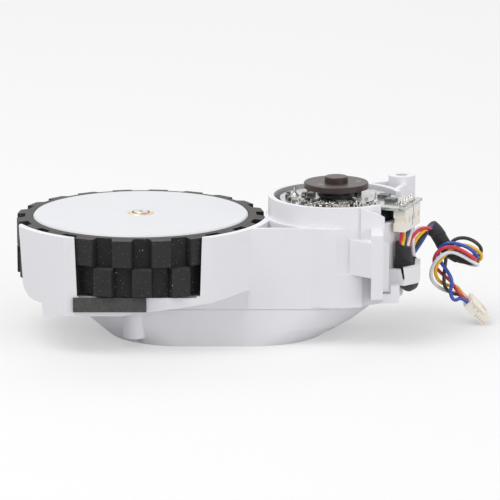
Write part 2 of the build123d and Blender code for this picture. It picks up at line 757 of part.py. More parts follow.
with BuildPart() as bearing_front:
    with BuildSketch(Plane.XY.offset(can_bottom + can_floor - bearing_width)):
        with Locations(motor_axis):
            Circle(bearing_radius)
            Circle(shaft_radius + 0.02, mode=Mode.SUBTRACT)
    extrude(amount=bearing_width)

with BuildPart() as stator:
    with BuildSketch(Plane.XY.offset(stator_bottom)):
        with Locations(motor_axis):
            Circle(can_radius - can_wall - running_fit)
            Circle(rotor_radius + air_gap, mode=Mode.SUBTRACT)
            with PolarLocations(12.0, stator_slots):
                Rectangle(4.0, stator_slot_width, mode=Mode.SUBTRACT)
    extrude(amount=stator_height)

with BuildPart() as rotor_magnet:
    with BuildSketch(Plane.XY.offset(stator_bottom)):
        with Locations(motor_axis):
            Circle(rotor_radius)
            Circle(shaft_radius, mode=Mode.SUBTRACT)
    extrude(amount=stator_height)

bell_bottom = can_top
with BuildPart() as motor_end_bell:
    with BuildSketch(Plane.XY.offset(bell_bottom)):
        with Locations(motor_axis):
            Circle(can_radius)
    extrude(amount=bell_thickness)
    with BuildSketch(Plane.XY.offset(bell_bottom - 2.4)):
        with Locations(motor_axis):
            Circle(bearing_radius + 1.6)
    extrude(amount=2.4)
    with BuildSketch(Plane.XY.offset(bell_bottom + bell_thickness)):
        with Locations(motor_axis):
            with PolarLocations(12.6, 3, start_angle=90):
                Circle(1.8)
    extrude(amount=board_bottom - bell_bottom - bell_thickness)
    with BuildSketch(Plane.XY.offset(bell_bottom - 2.4)):
        with Locations(motor_axis):
            Circle(bearing_radius)
    extrude(amount=bearing_width, mode=Mode.SUBTRACT)
    with BuildSketch(Plane.XY.offset(bell_bottom - 2.4)):
        with Locations(motor_axis):
            Circle(shaft_radius + 0.4)
    extrude(amount=10, mode=Mode.SUBTRACT)

with BuildPart() as bearing_rear:
    with BuildSketch(Plane.XY.offset(bell_bottom - 2.4)):
        with Locations(motor_axis):
            Circle(bearing_radius)
            Circle(shaft_radius + 0.02, mode=Mode.SUBTRACT)
    extrude(amount=bearing_width)

# Board with its tab, and what is soldered on it
tab_cos = cos(radians(tab_angle))
tab_sin = sin(radians(tab_angle))
tab_plane = Plane(origin=(motor_x, motor_y, board_bottom), x_dir=(tab_cos, tab_sin, 0), z_dir=(0, 0, 1))
peak_places = [(11.8, 169.6), (12.4, 75), (13.2, 326)]
with BuildPart() as driver_pcb:
    with BuildSketch(tab_plane):
        Circle(board_radius)
        with Locations((tab_reach / 2, 0)):
            Rectangle(tab_reach, tab_width)
        Circle(carrier_neck_radius + 0.6, mode=Mode.SUBTRACT)
    extrude(amount=board_thickness)

parts_plane = Plane(origin=(motor_x, motor_y, board_top), x_dir=(tab_cos, tab_sin, 0), z_dir=(0, 0, 1))
with BuildPart() as pcb_components:
    with BuildSketch(parts_plane):
        with Locations((12.6, 4.9), (16.2, 0.4)):
            Rectangle(3.0, 3.0)
        with PolarLocations(7.4, 3, start_angle=60):
            Rectangle(1.6, 3.0)
        with PolarLocations(9.4, 7, start_angle=115, angular_range=160, rotate=True):
            Rectangle(1.0, 1.8)
        with PolarLocations(13.9, 5, start_angle=185, angular_range=80, rotate=True):
            Rectangle(0.9, 1.7)
    extrude(amount=0.9)

with BuildPart() as motor_terminals:
    for peak_reach, peak_angle in peak_places:
        peak_centre = (
            motor_x + peak_reach * cos(radians(peak_angle)),
            motor_y + peak_reach * sin(radians(peak_angle)),
        )
        with BuildSketch(Plane.XY.offset(board_top)):
            with Locations(peak_centre):
                Circle(peak_radius)
        with BuildSketch(Plane.XY.offset(board_top + 0.9)):
            with Locations(peak_centre):
                Circle(0.6)
        loft()
        with BuildSketch(Plane.XY.offset(board_top + 0.9)):
            with Locations(peak_centre):
                Circle(0.5)
        with BuildSketch(Plane.XY.offset(board_top + peak_height)):
            with Locations(peak_centre):
                Circle(0.15)
        loft()

# Connector: header under the tab, crimp housing below it
header_bottom = board_bottom - header_height
crimp_bottom = header_bottom - crimp_height
header_plane = Plane(origin=(motor_x, motor_y, header_bottom), x_dir=(tab_cos, tab_sin, 0), z_dir=(0, 0, 1))
crimp_plane = Plane(origin=(motor_x, motor_y, crimp_bottom), x_dir=(tab_cos, tab_sin, 0), z_dir=(0, 0, 1))
pin_row = [(connector_reach, (n - (wire_count - 1) / 2) * pin_pitch) for n in range(wire_count)]
with BuildPart() as board_header:
    with BuildSketch(header_plane):
        with Locations((connector_reach, 0)):
            Rectangle(header_width, header_length)
        with Locations(*pin_row):
            Rectangle(pin_size, pin_size, mode=Mode.SUBTRACT)
    extrude(amount=header_height)

with BuildPart() as header_pins:
    with BuildSketch(header_plane):
        with Locations(*pin_row):
            Rectangle(pin_size, pin_size)
    extrude(amount=header_height)
    with BuildSketch(parts_plane):
        with Locations(*pin_row):
            Circle(0.65)
    extrude(amount=0.9, taper=20)

with BuildPart() as wire_housing:
    with BuildSketch(crimp_plane):
        with Locations((connector_reach, 0)):
            Rectangle(header_width, header_length)
    extrude(amount=crimp_height * 0.65)
    with BuildSketch(crimp_plane.offset(crimp_height * 0.65)):
        with Locations((connector_reach, 0)):
            Rectangle(crimp_width, crimp_length)
    extrude(amount=crimp_height * 0.35)

# Sensor disc on the motor shaft
with BuildPart() as encoder_carrier:
    with BuildSketch(Plane.XY.offset(board_top + 0.5)):
        with Locations(motor_axis):
            Circle(carrier_flange_radius)
            Circle(shaft_radius, mode=Mode.SUBTRACT)
    extrude(amount=carrier_flange_thickness)
    with BuildSketch(Plane.XY.offset(board_top + 0.5 + carrier_flange_thickness)):
        with Locations(motor_axis):
            Circle(carrier_neck_radius)
            Circle(shaft_radius, mode=Mode.SUBTRACT)
    extrude(amount=encoder_bottom - board_top - 0.5 - carrier_flange_thickness)

with BuildPart() as encoder_disc:
    with BuildSketch(Plane.XY.offset(encoder_bottom)):
        with Locations(motor_axis):
            Circle(encoder_radius)
    extrude(amount=encoder_thickness)
    chamfer(encoder_disc.edges().group_by(Axis.Z)[-1], length=0.2)
    with BuildSketch(Plane.XY.offset(encoder_bottom + encoder_thickness)):
        with Locations(motor_axis):
            Circle(encoder_hub_radius)
    extrude(amount=encoder_hub_top - encoder_bottom - encoder_thickness)
    chamfer(encoder_disc.edges().group_by(Axis.Z)[-1], length=0.2)
    with BuildSketch(Plane.XY.offset(encoder_bottom)):
        with Locations(motor_axis):
            Circle(shaft_radius)
    extrude(amount=shaft_top + seat_gap - encoder_bottom, mode=Mode.SUBTRACT)

with BuildPart() as front_foam_strip:
    with BuildSketch(Plane.XZ.offset(fender_flat)):
        with Locations(((foam_left + foam_right) / 2, (foam_bottom + foam_top) / 2)):
            Rectangle(foam_right - foam_left, foam_top - foam_bottom)
    extrude(amount=foam_thickness)

# Plug at the far end, leaning with its tip on the ground
plug_length = 7.4
plug_width = 8.2
plug_height = 3.2
plug_pitch = 1.25
plug_wire_depth = 1.5
plug_entry = (93.2, 6.0, 6.6)
plug_slope = 45.0
plug_axis = (cos(radians(plug_slope)), 0, -sin(radians(plug_slope)))
plug_plane = Plane(origin=plug_entry, x_dir=(0, 1, 0), z_dir=plug_axis)
plug_row = [((n - (wire_count - 1) / 2) * plug_pitch, 0) for n in range(wire_count)]
with BuildPart() as far_plug:
    with BuildSketch(plug_plane):
        Rectangle(plug_width, plug_height)
    extrude(amount=plug_length)
    with BuildSketch(plug_plane):
        with Locations(*plug_row):
            Circle(wire_radius + running_fit)
    extrude(amount=plug_wire_depth, mode=Mode.SUBTRACT)
    with BuildSketch(plug_plane.offset(plug_length)):
        with Locations(*plug_row):
            Rectangle(0.7, 1.2)
    extrude(amount=-2.4, mode=Mode.SUBTRACT)

with BuildPart() as plug_contacts:
    with BuildSketch(plug_plane.offset(plug_length - 0.5)):
        with Locations(*plug_row):
            Rectangle(0.5, 0.8)
    extrude(amount=-1.9)

# Wires: each leaves the board connector, runs through two taped stretches and ends in the plug
tape_a_middle = [
    (73.8, -14.4, 27.6), (73.7, -14.2, 22.6), (74.1, -13.2, 18.2), (75.2, -10.6, 15.2), (76.5, -6.5, 14.6),
    (76.9, -2.6, 16.2), (76.6, 0.6, 19.6),
]
tape_a_outer = [
    (73.4, -15.4, 27.6), (73.3, -15.2, 22.4), (73.8, -14.3, 17.9), (75.0, -11.1, 14.2), (76.5, -6.5, 13.5),
    (77.0, -2.0, 15.3), (76.8, 1.5, 19.0),
]
tape_a_inner = [
    (74.2, -13.4, 27.6), (74.1, -13.2, 22.8), (74.4, -12.1, 18.6), (75.4, -10.1, 16.2), (76.5, -6.5, 15.7),
    (76.8, -3.2, 17.1), (76.4, -0.4, 20.2),
]
tape_b_middle = [(82.6, 9.0, 27.5), (85.2, 9.0, 25.0), (86.4, 9.0, 21.8), (89.2, 9.0, 19.4), (92.4, 9.0, 18.2)]
tape_b_upper = [(82.9, 9.0, 28.5), (86.1, 9.0, 25.6), (87.4, 9.0, 22.3), (89.7, 9.0, 20.4), (92.8, 9.0, 19.2)]
tape_b_lower = [(82.2, 9.0, 26.5), (84.4, 9.0, 24.4), (85.4, 9.0, 21.2), (88.7, 9.0, 18.4), (92.0, 9.0, 17.2)]
tape_a_side = (1.04, -0.3, 0.0)
tape_b_side = (0.0, 1.08, 0.0)


def beside(route, step, side):
    """The same stretch one wire to the side."""
    return [(x + side * step[0], y + side * step[1], z + side * step[2]) for x, y, z in route]


wire_places = {
    "wire_red": dict(
        pin=0, tape_a=beside(tape_a_middle, tape_a_side, -1), tape_b=beside(tape_b_middle, tape_b_side, -1),
        between=[(76.2, 2.8, 24.6), (79.0, 5.8, 27.6)],
        loose=[
            (94.6, 7.2, 17.8), (95.6, 5.2, 18.6), (94.4, 3.0, 19.9), (91.6, 2.6, 21.9), (88.2, 2.6, 23.2),
            (85.2, 2.8, 22.5), (83.3, 3.4, 20.0), (83.6, 5.7, 16.8), (85.7, 6.4, 14.3), (88.4, 5.9, 12.4),
            (90.0, 4.6, 9.8),
        ],
        plug=1,
    ),
    "wire_yellow": dict(
        pin=1, tape_a=tape_a_outer, tape_b=tape_b_middle,
        between=[(77.2, 2.8, 23.6), (79.6, 5.6, 26.4)],
        loose=[
            (94.8, 9.0, 17.6), (97.0, 7.6, 18.0), (97.2, 6.2, 20.0), (95.0, 5.3, 22.0), (92.0, 5.2, 23.2),
            (88.8, 5.2, 22.3), (86.0, 4.0, 19.9), (83.5, 3.8, 16.6), (84.3, 4.6, 12.9), (87.2, 7.0, 10.7),
            (90.2, 7.9, 10.4),
        ],
        plug=4,
    ),
    "wire_black": dict(
        pin=2, tape_a=tape_a_middle, tape_b=beside(tape_b_middle, tape_b_side, 1),
        between=[(77.6, 3.0, 22.6), (80.2, 6.0, 25.2)],
        loose=[
            (94.8, 10.2, 18.2), (97.0, 9.0, 19.2), (97.2, 7.2, 21.6), (95.2, 6.4, 23.8), (92.2, 6.4, 25.0),
            (89.0, 6.5, 24.4), (87.2, 6.5, 21.4), (86.8, 6.0, 17.8), (86.3, 4.6, 14.0), (86.4, 4.4, 10.8),
            (88.6, 5.4, 8.6),
        ],
        plug=2,
    ),
    "wire_blue": dict(
        pin=3, tape_a=tape_a_inner, tape_b=tape_b_upper,
        between=[(77.8, 3.2, 21.4), (80.4, 7.0, 24.2)],
        loose=[
            (95.2, 8.6, 18.9), (96.2, 6.4, 18.9), (95.2, 4.4, 20.6), (93.4, 4.0, 22.4), (90.4, 4.0, 23.6),
            (87.0, 4.1, 24.0), (84.7, 5.6, 21.8), (84.9, 5.8, 18.4), (87.2, 3.8, 15.8), (88.8, 3.1, 12.9),
            (87.9, 2.9, 9.6), (89.2, 2.9, 6.9),
        ],
        plug=0,
    ),
    "wire_white": dict(
        pin=4, tape_a=beside(tape_a_middle, tape_a_side, 1), tape_b=tape_b_lower,
        between=[(77.0, 4.0, 25.8), (79.4, 7.4, 28.2)],
        loose=[
            (94.2, 8.8, 16.4), (96.0, 7.0, 16.6), (96.0, 4.6, 17.4), (93.9, 3.8, 18.6), (91.2, 3.2, 20.4),
            (88.2, 2.7, 21.7), (85.2, 2.6, 20.6), (82.9, 2.8, 17.6), (82.3, 3.2, 14.2), (83.8, 5.0, 11.4),
            (86.4, 7.2, 9.3), (89.2, 7.6, 8.4),
        ],
        plug=3,
    ),
}


def connector_point(pin, height):
    along = (pin - (wire_count - 1) / 2) * pin_pitch
    return (
        motor_x + connector_reach * tab_cos - along * tab_sin,
        motor_y + connector_reach * tab_sin + along * tab_cos,
        height,
    )


def plug_point(pin, depth):
    return (plug_entry[0] + depth * plug_axis[0], plug_entry[1] + plug_row[pin][0], plug_entry[2] + depth * plug_axis[2])


def bend_radii(route):
    """The largest arc that the two runs beside each corner leave room for."""
    radii = []
    for before, corner, after in zip(route, route[1:], route[2:]):
        run_in = Vector(*corner) - Vector(*before)
        run_out = Vector(*after) - Vector(*corner)
        half_turn = radians(run_in.get_angle(run_out)) / 2
        radii.append(0.45 * min(run_in.length, run_out.length) / tan(half_turn))
    return radii


def wire_route(place):
    start = [connector_point(place["pin"], crimp_bottom), connector_point(place["pin"], crimp_bottom - 1.8)]
    end = [plug_point(place["plug"], -2.4), plug_point(place["plug"], plug_wire_depth - seat_gap)]
    return start + place["tape_a"] + place["between"] + place["tape_b"] + place["loose"] + end


def tube(route, outer, inner=0.0):
    radii = bend_radii(route)
    with BuildPart() as made:
        with BuildLine():
            spine = FilletPolyline(*route, radius=radii)
        with BuildSketch(spine ^ 0):
            Circle(outer)
            if inner:
                Circle(inner, mode=Mode.SUBTRACT)
        sweep(path=spine)
    section = pi * (outer**2 - inner**2)
    print("length", round(spine.length, 1), "volume ratio", round(made.part.volume / (section * spine.length), 3),
          "bend radii", [round(radius, 1) for radius in radii])
    return made.part


wires = {name: tube(wire_route(place), wire_radius) for name, place in wire_places.items()}
tape_sleeve_upper = tube(tape_a_middle, sleeve_radius, sleeve_radius - sleeve_wall)
tape_sleeve_lower = tube(tape_b_middle, sleeve_radius, sleeve_radius - sleeve_wall)

os.makedirs("parts", exist_ok=True)
pieces = {
    "main_housing": main_housing.part, "gear_case_cover": gear_case_cover.part, "cover_screws": cover_screws.part,
    "motor_screws": motor_screws.part, "wheel_hub": wheel_hub.part, "wheel_cap_disc": wheel_cap_disc.part,
    "wheel_insert": wheel_insert.part, "tyre": tyre.part, "wheel_axle": wheel_axle.part,
    "final_gear": final_gear.part, "axle_bush_lower": axle_bush_lower.part, "axle_bush_upper": axle_bush_upper.part,
    "idler_gear_b": idler_gear_b.part, "idler_gear_a": idler_gear_a.part, "idler_pin_b": idler_pin_b.part,
    "idler_pin_a": idler_pin_a.part, "motor_pinion": motor_pinion.part, "motor_shaft": motor_shaft.part,
    "motor_can": motor_can.part, "bearing_front": bearing_front.part, "stator": stator.part,
    "rotor_magnet": rotor_magnet.part, "motor_end_bell": motor_end_bell.part, "bearing_rear": bearing_rear.part,
    "driver_pcb": driver_pcb.part, "pcb_components": pcb_components.part, "motor_terminals": motor_terminals.part,
    "board_header": board_header.part, "header_pins": header_pins.part, "wire_housing": wire_housing.part,
    "encoder_carrier": encoder_carrier.part, "encoder_disc": encoder_disc.part,
    "front_foam_strip": front_foam_strip.part, "far_plug": far_plug.part, "plug_contacts": plug_contacts.part,
    "tape_sleeve_upper": tape_sleeve_upper, "tape_sleeve_lower": tape_sleeve_lower, **wires,
}
for name, piece in pieces.items():
    piece.label = name
    export_step(piece, f"parts/{name}.step")
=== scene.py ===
import bmesh
import bpy
import random
from math import cos, pi, radians, sin
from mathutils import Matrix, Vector


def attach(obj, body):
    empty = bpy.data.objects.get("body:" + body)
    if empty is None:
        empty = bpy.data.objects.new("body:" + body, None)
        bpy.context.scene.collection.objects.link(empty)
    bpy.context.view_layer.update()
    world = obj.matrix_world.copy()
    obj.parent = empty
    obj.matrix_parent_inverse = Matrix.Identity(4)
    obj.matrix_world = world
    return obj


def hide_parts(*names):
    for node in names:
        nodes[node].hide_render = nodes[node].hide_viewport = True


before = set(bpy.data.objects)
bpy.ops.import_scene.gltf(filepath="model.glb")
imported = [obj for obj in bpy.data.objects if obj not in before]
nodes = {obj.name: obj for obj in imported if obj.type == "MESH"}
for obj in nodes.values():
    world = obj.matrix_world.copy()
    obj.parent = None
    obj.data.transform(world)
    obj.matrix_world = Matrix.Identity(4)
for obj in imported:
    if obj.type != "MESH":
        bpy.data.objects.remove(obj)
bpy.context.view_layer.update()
MM = 0.001

# Camera: the photograph's angle, distance and lens
camera_target = Vector((30.9, 0.0, 22.7)) * MM
camera_place = Vector((30.9, -926.4, 233.2)) * MM
camera_lens = 241.0
camera_film_width = 36.0
camera_nearest = 0.05
camera_farthest = 20.0
camera_data = bpy.data.cameras.new("camera")
camera_data.lens = camera_lens
camera_data.sensor_width = camera_film_width
camera_data.clip_start = camera_nearest
camera_data.clip_end = camera_farthest
camera = bpy.data.objects.new("camera", camera_data)
bpy.context.scene.collection.objects.link(camera)
camera.location = camera_place
camera.rotation_mode = "QUATERNION"
camera.rotation_quaternion = (camera_target - camera_place).to_track_quat("-Z", "Y")
bpy.context.scene.camera = camera


# Materials
patch_limits = (0.35, 0.65)      # noise values between which a patch fades in
grain_limits = (0.3, 0.7)
roughness_spread = 0.08
grain_strength = 0.6
speck_edge = 1.3                 # a speck fades out at this many times its size
share_edge = 0.01                # width of the step between cells with a speck and cells without


def link(tree, source, target):
    tree.links.new(source, target)


def noise(tree, vector, scale, detail=3.0):
    """A noise texture in object space; scale is in cycles per metre."""
    node = tree.nodes.new("ShaderNodeTexNoise")
    node.inputs["Scale"].default_value = scale
    node.inputs["Detail"].default_value = detail
    link(tree, vector, node.inputs["Vector"])
    return node.outputs["Fac"]


def mapped(tree, value, low, high, to_low, to_high):
    """A value moved from one span to another and held at its ends."""
    node = tree.nodes.new("ShaderNodeMapRange")
    node.inputs["From Min"].default_value = low
    node.inputs["From Max"].default_value = high
    node.inputs["To Min"].default_value = to_low
    node.inputs["To Max"].default_value = to_high
    link(tree, value, node.inputs["Value"])
    return node.outputs["Result"]


def mixed(tree, factor, first, second):
    """Colour between two colours, each a tuple or a socket."""
    node = tree.nodes.new("ShaderNodeMix")
    node.data_type = "RGBA"
    link(tree, factor, node.inputs["Factor"])
    colour_inputs = [socket for socket in node.inputs if socket.type == "RGBA"]
    for socket, colour in zip(colour_inputs, (first, second)):
        if isinstance(colour, tuple):
            socket.default_value = (*colour, 1.0)
        else:
            link(tree, colour, socket)
    return next(socket for socket in node.outputs if socket.type == "RGBA")


def computed(tree, operation, first, second):
    """One arithmetic step on two values; the second may be a plain number."""
    node = tree.nodes.new("ShaderNodeMath")
    node.operation = operation
    link(tree, first, node.inputs[0])
    if isinstance(second, float):
        node.inputs[1].default_value = second
    else:
        link(tree, second, node.inputs[1])
    return node.outputs[0]


def dust(tree, vector, scale, size, share):
    """Round specks, at most one to a cell: 1 on a speck and 0 beside it."""
    cells = tree.nodes.new("ShaderNodeTexVoronoi")
    cells.inputs["Scale"].default_value = scale
    link(tree, vector, cells.inputs["Vector"])
    inside = mapped(tree, cells.outputs["Distance"], size, size * speck_edge, 1.0, 0.0)
    draw = tree.nodes.new("ShaderNodeSeparateColor")
    link(tree, cells.outputs["Color"], draw.inputs["Color"])
    chosen = mapped(tree, draw.outputs["Red"], 1 - share, 1 - share + share_edge, 0.0, 1.0)
    return computed(tree, "MULTIPLY", inside, chosen)


def seen_directly(tree):
    """1 where the camera or a mirror-like surface sees the place, 0 where it only gives light."""
    rays = tree.nodes.new("ShaderNodeLightPath")
    return computed(tree, "MAXIMUM", rays.outputs["Is Camera Ray"], rays.outputs["Is Glossy Ray"])


def finish_material(name, colour, rough, variation=0.06, patch=60.0, grain=2500.0, grain_height=0.00002,
                    metallic=0.0, coat=0.0, specks=(), sheen=0.0, patches_and_highlight=None, patches_and_highlight_colour=None, specular=0.5):
    """A procedural finish: patchy colour, uneven roughness and a fine grain, with optional specks and an
    optional second colour over a mask: real copper patches on the board, painted highlight and shade on the
    tyre.

    Patch and grain are in cycles per metre. Each speck row gives a colour, cells per metre, size and share.
    """
    material = bpy.data.materials.new(name)
    material.use_nodes = True
    tree = material.node_tree
    shader = tree.nodes["Principled BSDF"]
    place = tree.nodes.new("ShaderNodeTexCoord").outputs["Object"]
    patches = noise(tree, place, patch)
    darker = tuple(c * (1 - variation) for c in colour)
    lighter = tuple(min(1.0, c * (1 + variation)) for c in colour)
    base = mixed(tree, mapped(tree, patches, *patch_limits, 0.0, 1.0), darker, lighter)
    if patches_and_highlight:
        base = mixed(tree, patches_and_highlight(tree), base, patches_and_highlight_colour)
    for speck_colour, speck_scale, speck_size, speck_share in specks:
        base = mixed(tree, dust(tree, place, speck_scale, speck_size, speck_share), base, speck_colour)
    link(tree, base, shader.inputs["Base Color"])
    fine = noise(tree, place, grain, detail=4.0)
    uneven = mapped(tree, fine, *grain_limits, rough - roughness_spread, rough + roughness_spread)
    link(tree, uneven, shader.inputs["Roughness"])
    bump = tree.nodes.new("ShaderNodeBump")
    bump.inputs["Distance"].default_value = grain_height
    bump.inputs["Strength"].default_value = grain_strength
    link(tree, fine, bump.inputs["Height"])
    link(tree, bump.outputs["Normal"], shader.inputs["Normal"])
    shader.inputs["Metallic"].default_value = metallic
    shader.inputs["Specular IOR Level"].default_value = specular
    shader.inputs["Coat Weight"].default_value = coat
    shader.inputs["Sheen Weight"].default_value = sheen
    return material


groove_radius = 33.2             # of the tyre: no lightening inside it, so the grooves keep the darker colour as painted shade, in millimetres
block_face_radius = 34.6
block_face_lightening = 0.2
side_slope = (0.2, 0.6)          # upward share of the normal between which the painted highlight on the upper side fades in
copper_limits = (0.47, 0.50)
copper_scale = 420.0


def tyre_painted_highlight(tree):
    """Painted light on the tyre: a slight lightening on the faces of its blocks, a full painted highlight on
    its upper side, and none in the grooves, which keep the darker colour as painted shade.
    """
    coordinates = tree.nodes.new("ShaderNodeTexCoord")
    place = tree.nodes.new("ShaderNodeSeparateXYZ")
    link(tree, coordinates.outputs["Object"], place.inputs["Vector"])
    flat = tree.nodes.new("ShaderNodeCombineXYZ")
    link(tree, place.outputs["X"], flat.inputs["X"])
    link(tree, place.outputs["Y"], flat.inputs["Y"])
    reach = tree.nodes.new("ShaderNodeVectorMath")
    reach.operation = "LENGTH"
    link(tree, flat.outputs["Vector"], reach.inputs[0])
    on_block = mapped(tree, reach.outputs["Value"], groove_radius * MM, block_face_radius * MM, 0.0,
                      block_face_lightening)
    facing = tree.nodes.new("ShaderNodeSeparateXYZ")
    link(tree, coordinates.outputs["Normal"], facing.inputs["Vector"])
    on_side = mapped(tree, facing.outputs["Z"], *side_slope, 0.0, 1.0)
    return computed(tree, "MAXIMUM", on_block, on_side)


def board_patches(tree):
    """Copper areas under the lacquer: paler patches with sharp borders."""
    place = tree.nodes.new("ShaderNodeTexCoord").outputs["Object"]
    return mapped(tree, noise(tree, place, copper_scale, detail=1.0), *copper_limits, 0.0, 1.0)


pale_dust = (0.62, 0.62, 0.62)
rubbed_grey = (0.10, 0.10, 0.10)
dirt_grey = (0.42, 0.41, 0.42)
board_print = (0.62, 0.62, 0.60)
white = finish_material("moulded_white", (0.83, 0.83, 0.863), 0.42, variation=0.012, grain=3000,
                        specks=[(dirt_grey, 90.0, 0.018, 0.25)])
disc_white = finish_material("disc_white", (0.72, 0.73, 0.757), 0.40, variation=0.01, grain=5000,
                             specks=[(dirt_grey, 110.0, 0.02, 0.3)])
# The tyre's lighter second colour is painted highlight on its upper side and block faces; its darker grooves
# are painted shade.
tyre_black = finish_material("tyre_rubber", (0.0105, 0.0107, 0.0115), 0.62, variation=0.2, patch=180,
                             grain=1800, grain_height=0.00005,
                             specks=[(pale_dust, 520.0, 0.055, 0.26), (rubbed_grey, 1300.0, 0.16, 0.45)],
                             patches_and_highlight=tyre_painted_highlight, patches_and_highlight_colour=(0.060, 0.057, 0.055), specular=0.28)
hub_black = finish_material("hub_plastic", (0.05, 0.05, 0.052), 0.5)
steel = finish_material("steel", (0.62, 0.61, 0.60), 0.3, metallic=1.0)
brass = finish_material("brass", (0.70, 0.53, 0.39), 0.42, variation=0.12, patch=400, metallic=1.0)
bronze = finish_material("bronze_bush", (0.5, 0.35, 0.2), 0.5, metallic=1.0)
gear_white = finish_material("gear_plastic", (0.76, 0.76, 0.72), 0.4)
can_black = finish_material("motor_black", (0.022, 0.022, 0.024), 0.35, coat=0.2)
black_plastic = finish_material("black_plastic", (0.012, 0.012, 0.013), 0.45)
magnet_grey = finish_material("magnet", (0.16, 0.15, 0.15), 0.5, metallic=0.6)
encoder_brown = finish_material("sensor_disc", (0.036, 0.019, 0.016), 0.40, variation=0.1, patch=250,
                                grain=4000)
disc_mark = finish_material("disc_mark", (0.45, 0.43, 0.42), 0.4)
board_green = finish_material("board", (0.20, 0.225, 0.21), 0.22, variation=0.12, patch=700, coat=1.0,
                              specks=[(board_print, 900.0, 0.16, 0.35)], patches_and_highlight=board_patches,
                              patches_and_highlight_colour=(0.40, 0.42, 0.41))
chip_black = finish_material("chips", (0.02, 0.02, 0.022), 0.35)
chip_grey = finish_material("chips_grey", (0.11, 0.115, 0.115), 0.35, variation=0.8, patch=330)
part_ends = finish_material("part_ends", (0.80, 0.79, 0.78), 0.3, metallic=1.0, variation=0.2, patch=900)
capacitor = finish_material("capacitors", (0.40, 0.33, 0.24), 0.4, variation=0.15)
solder = finish_material("solder", (0.50, 0.48, 0.45), 0.24, metallic=1.0, variation=0.3, patch=900,
                         grain=3000, grain_height=0.0003)
cream = finish_material("cream_plastic", (0.90, 0.86, 0.77), 0.4, variation=0.02)
plug_cream = finish_material("plug_plastic", (0.95, 0.89, 0.80), 0.38, variation=0.02)
# Painted shade: this darker colour stands for the shade inside the plug's slots and dots.
plug_shade = finish_material("plug_slot_shade", (0.62, 0.50, 0.38), 0.5)
pen_blue = finish_material("pen_line", (0.16, 0.24, 0.62), 0.5, variation=0.2, patch=800)
foam = finish_material("foam", (0.074, 0.074, 0.072), 0.9, variation=0.12, patch=900, grain=3500,
                       grain_height=0.0002)
tape = finish_material("cloth_tape", (0.015, 0.015, 0.017), 0.72, variation=0.3, patch=500, grain=5000,
                       grain_height=0.00012, sheen=0.15)
wire_colours = {
    "red": (0.68, 0.030, 0.045),
    "yellow": (0.86, 0.52, 0.018),
    "black": (0.018, 0.014, 0.012),
    "blue": (0.030, 0.085, 0.46),
    "white": (0.84, 0.84, 0.87),
}
insulation = {
    name: finish_material("insulation_" + name, colour, 0.28, variation=0.08, patch=300, coat=0.15)
    for name, colour in wire_colours.items()
}
node_materials = {
    "main_housing": white, "gear_case_cover": white, "cover_screws": steel, "motor_screws": steel,
    "wheel_hub": hub_black, "wheel_cap_disc": disc_white, "wheel_insert": brass, "tyre": tyre_black,
    "wheel_axle": steel, "final_gear": gear_white, "axle_bush_lower": bronze, "axle_bush_upper": bronze,
    "idler_gear_b": gear_white, "idler_gear_a": gear_white, "idler_pin_b": steel, "idler_pin_a": steel,
    "motor_pinion": brass, "motor_shaft": steel, "motor_can": can_black, "bearing_front": steel,
    "stator": steel, "rotor_magnet": magnet_grey, "motor_end_bell": black_plastic, "bearing_rear": steel,
    "driver_pcb": board_green, "pcb_components": chip_grey, "motor_terminals": solder,
    "board_header": cream, "header_pins": solder,
    "wire_housing": cream, "encoder_carrier": black_plastic, "encoder_disc": encoder_brown,
    "front_foam_strip": foam, "far_plug": plug_cream, "plug_contacts": steel,
}
for name, material in node_materials.items():
    mesh = nodes[name].data
    mesh.materials.clear()
    mesh.materials.append(material)


def level(angle):
    """The level direction at an angle in degrees."""
    return Vector((cos(radians(angle)), sin(radians(angle)), 0.0))


# Wires: the same routes as the part's, in millimetres
motor = Vector((55.2, -2.4, 0.0))
upward = Vector((0.0, 0.0, 1.0))
tab_angle = -20.6
tab_direction = level(tab_angle)
tab_across = Vector((-tab_direction.y, tab_direction.x, 0.0))
connector_reach = 21.0
crimp_bottom = 31.5
pin_pitch = 2.2
wire_radius = 0.52
plug_entry = Vector((93.2, 6.0, 6.6))
plug_tilt = 45.0
plug_axis = Vector((cos(radians(plug_tilt)), 0.0, -sin(radians(plug_tilt))))
plug_pitch = 1.25
plug_wire_depth = 1.45
plug_lead_in = 2.4               # straight run of each wire before the plug
crimp_lead_out = 1.8             # straight run of each wire under the crimp housing
tape_a_middle = [
    (73.8, -14.4, 27.6), (73.7, -14.2, 22.6), (74.1, -13.2, 18.2), (75.2, -10.6, 15.2), (76.5, -6.5, 14.6),
    (76.9, -2.6, 16.2), (76.6, 0.6, 19.6),
]
tape_a_outer = [
    (73.4, -15.4, 27.6), (73.3, -15.2, 22.4), (73.8, -14.3, 17.9), (75.0, -11.1, 14.2), (76.5, -6.5, 13.5),
    (77.0, -2.0, 15.3), (76.8, 1.5, 19.0),
]
tape_a_inner = [
    (74.2, -13.4, 27.6), (74.1, -13.2, 22.8), (74.4, -12.1, 18.6), (75.4, -10.1, 16.2), (76.5, -6.5, 15.7),
    (76.8, -3.2, 17.1), (76.4, -0.4, 20.2),
]
tape_b_middle = [
    (82.6, 9.0, 27.5), (85.2, 9.0, 25.0), (86.4, 9.0, 21.8), (89.2, 9.0, 19.4), (92.4, 9.0, 18.2),
]
tape_b_upper = [
    (82.9, 9.0, 28.5), (86.1, 9.0, 25.6), (87.4, 9.0, 22.3), (89.7, 9.0, 20.4), (92.8, 9.0, 19.2),
]
tape_b_lower = [
    (82.2, 9.0, 26.5), (84.4, 9.0, 24.4), (85.4, 9.0, 21.2), (88.7, 9.0, 18.4), (92.0, 9.0, 17.2),
]
tape_a_side = Vector((1.04, -0.3, 0.0))
tape_b_side = Vector((0.0, 1.08, 0.0))


def beside(route, step, side):
    """The same stretch one wire to the side."""
    return [Vector(point) + side * step for point in route]


